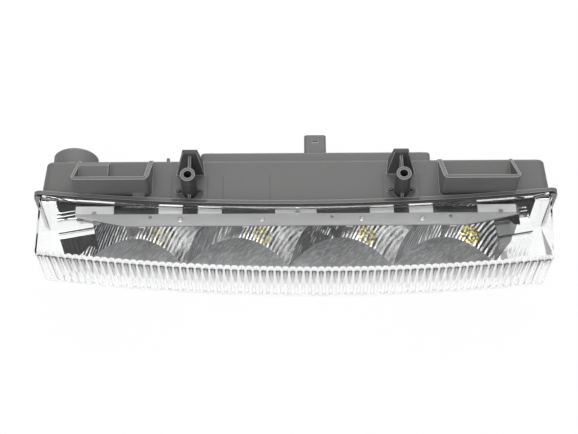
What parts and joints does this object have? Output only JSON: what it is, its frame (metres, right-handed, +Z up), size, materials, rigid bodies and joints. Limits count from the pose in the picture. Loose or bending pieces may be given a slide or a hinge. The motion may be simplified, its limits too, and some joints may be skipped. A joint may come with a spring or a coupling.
{
  "type": "daytime running light",
  "caption": "Long bowed vehicle front lamp: clear fluted lens over a faceted reflector, grey housing with screw bosses, bracket hooks, breather cap and rear plug.",
  "frame": {"origin": "midway between the axes of the two screw bosses, on their seating faces", "axes": "+X to the right seen from in front of the lamp, along its length; -Y the way the light leaves; +Z up, out of the screw bosses"},
  "size_m": [0.253, 0.0797, 0.0513],
  "materials": {
    "housing_plastic": "fine-grained mid grey moulding",
    "clear_plastic": "clear, polished, with upright flutes behind the front face",
    "seal_rubber": "soft black sealing compound",
    "bright_reflector": "vacuum-metallised plastic, bright",
    "board_laminate": "dark solder-masked laminate",
    "led_phosphor": "white package with a yellow phosphor dome",
    "pad_rubber": "grey heat-conducting sheet",
    "carrier_metal": "satin stamped sheet",
    "rivet_metal": "bright",
    "screw_steel": "zinc plated",
    "cover_plastic": "fine-grained mid grey moulding",
    "driver_laminate": "green solder-masked laminate",
    "choke_ferrite": "dull dark ferrite",
    "capacitor_can": "bright can",
    "chip_resin": "matte black",
    "pin_metal": "tin plated",
    "lead_sleeve": "insulated wire",
    "cap_plastic": "fine-grained grey moulding",
    "membrane_film": "white breathable film"
  },
  "bodies": {
    "root": {"housing": "housing_plastic", "lens": "clear_plastic", "lens_seal": "seal_rubber", "reflector": "bright_reflector", "led_board": "board_laminate", "led_packages": "led_phosphor", "thermal_pad": "pad_rubber", "led_carrier": "carrier_metal", "board_rivets": "rivet_metal", "carrier_screws": "screw_steel", "reflector_screws": "screw_steel", "rear_cover": "cover_plastic", "cover_seal": "seal_rubber", "cover_screws": "screw_steel", "driver_board": "driver_laminate", "driver_choke": "choke_ferrite", "driver_capacitors": "capacitor_can", "driver_chips": "chip_resin", "terminal_pins": "pin_metal", "led_leads": "lead_sleeve", "vent_cap": "cap_plastic", "vent_membrane": "membrane_film"}
  },
  "joints": []
}
